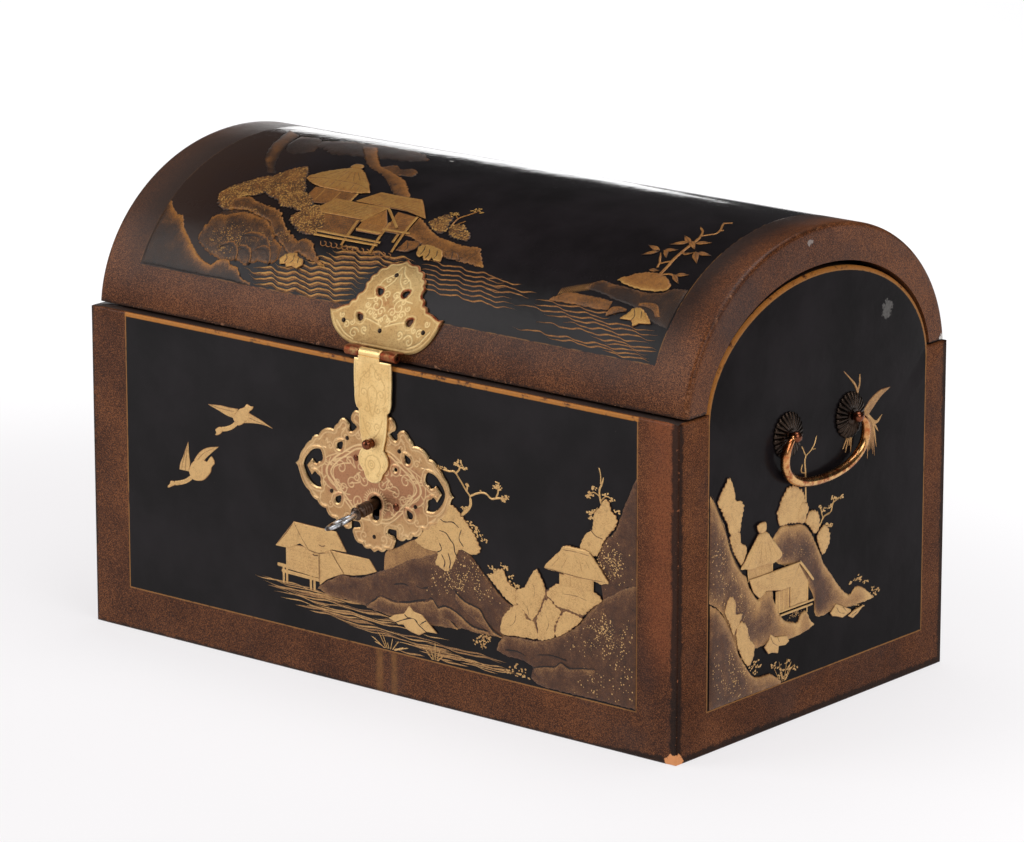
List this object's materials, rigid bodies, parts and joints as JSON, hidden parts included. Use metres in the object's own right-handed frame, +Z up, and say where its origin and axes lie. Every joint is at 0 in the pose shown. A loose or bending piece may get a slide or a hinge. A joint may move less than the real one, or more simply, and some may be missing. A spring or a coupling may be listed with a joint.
{
  "type": "lacquer coffer",
  "caption": "Box-shaped lacquered wooden coffer with a vaulted hinged lid, a pierced lock plate with hasp and key, and a swinging bail handle on each end.",
  "frame": {"origin": "middle of the case's underside, on the surface that the coffer stands on", "axes": "+X along the long front to its right end as one faces it, -Y out of the front with the lock, +Z up"},
  "size_m": [0.564, 0.3651, 0.3483],
  "materials": {
    "lacquer": "polished black lacquer with sprinkled and raised gold",
    "lacquered_base": "plain dark brown lacquer, dull",
    "gilt_copper": "engraved and fire-gilt sheet, worn at the edges",
    "copper": "smooth brown copper with traces of gilding",
    "dark_bronze": "near-black cast bronze, rubbed on the petals",
    "key_steel": "brown steel, bright where it is handled"
  },
  "bodies": {
    "root": {"front_board": "lacquer", "back_board": "lacquer", "left_end_board": "lacquer", "right_end_board": "lacquer", "bottom_board": "lacquered_base", "lock_plate": "gilt_copper", "left_hinge_case_leaf": "gilt_copper", "left_hinge_pin": "gilt_copper", "right_hinge_case_leaf": "gilt_copper", "right_hinge_pin": "gilt_copper", "left_front_stud": "copper", "left_back_stud": "copper", "right_front_stud": "copper", "right_back_stud": "copper", "left_front_rosette": "dark_bronze", "left_back_rosette": "dark_bronze", "right_front_rosette": "dark_bronze", "right_back_rosette": "dark_bronze", "key": "key_steel"},
    "lid": {"lid_vault": "lacquer", "left_lid_rib": "lacquer", "right_lid_rib": "lacquer", "hasp_leaf": "gilt_copper", "hasp_pin": "gilt_copper", "left_hinge_lid_leaf": "gilt_copper", "right_hinge_lid_leaf": "gilt_copper"},
    "hasp": {"hasp_strap": "gilt_copper", "hasp_knob": "copper"},
    "right_bail": {"right_bail": "copper"},
    "left_bail": {"left_bail": "copper"}
  },
  "joints": [
    {"name": "lid_hinge", "type": "hinge", "parent": "root", "child": "lid", "pos_m": [0, 0.1588, 0.2396], "axis": [-1, 0, 0], "range_deg": [0, 100]},
    {"name": "hasp_hinge", "type": "hinge", "parent": "lid", "child": "hasp", "pos_m": [0, -0.1546, 0.245], "axis": [-1, 0, 0], "range_deg": [0, 150]},
    {"name": "right_bail_swing", "type": "hinge", "parent": "root", "child": "right_bail", "pos_m": [0.278, 0.002, 0.2073], "axis": [0, -1, 0], "range_deg": [-1.5, 185]},
    {"name": "left_bail_swing", "type": "hinge", "parent": "root", "child": "left_bail", "pos_m": [-0.278, 0.002, 0.2073], "axis": [0, 1, 0], "range_deg": [-1.5, 185]}
  ]
}
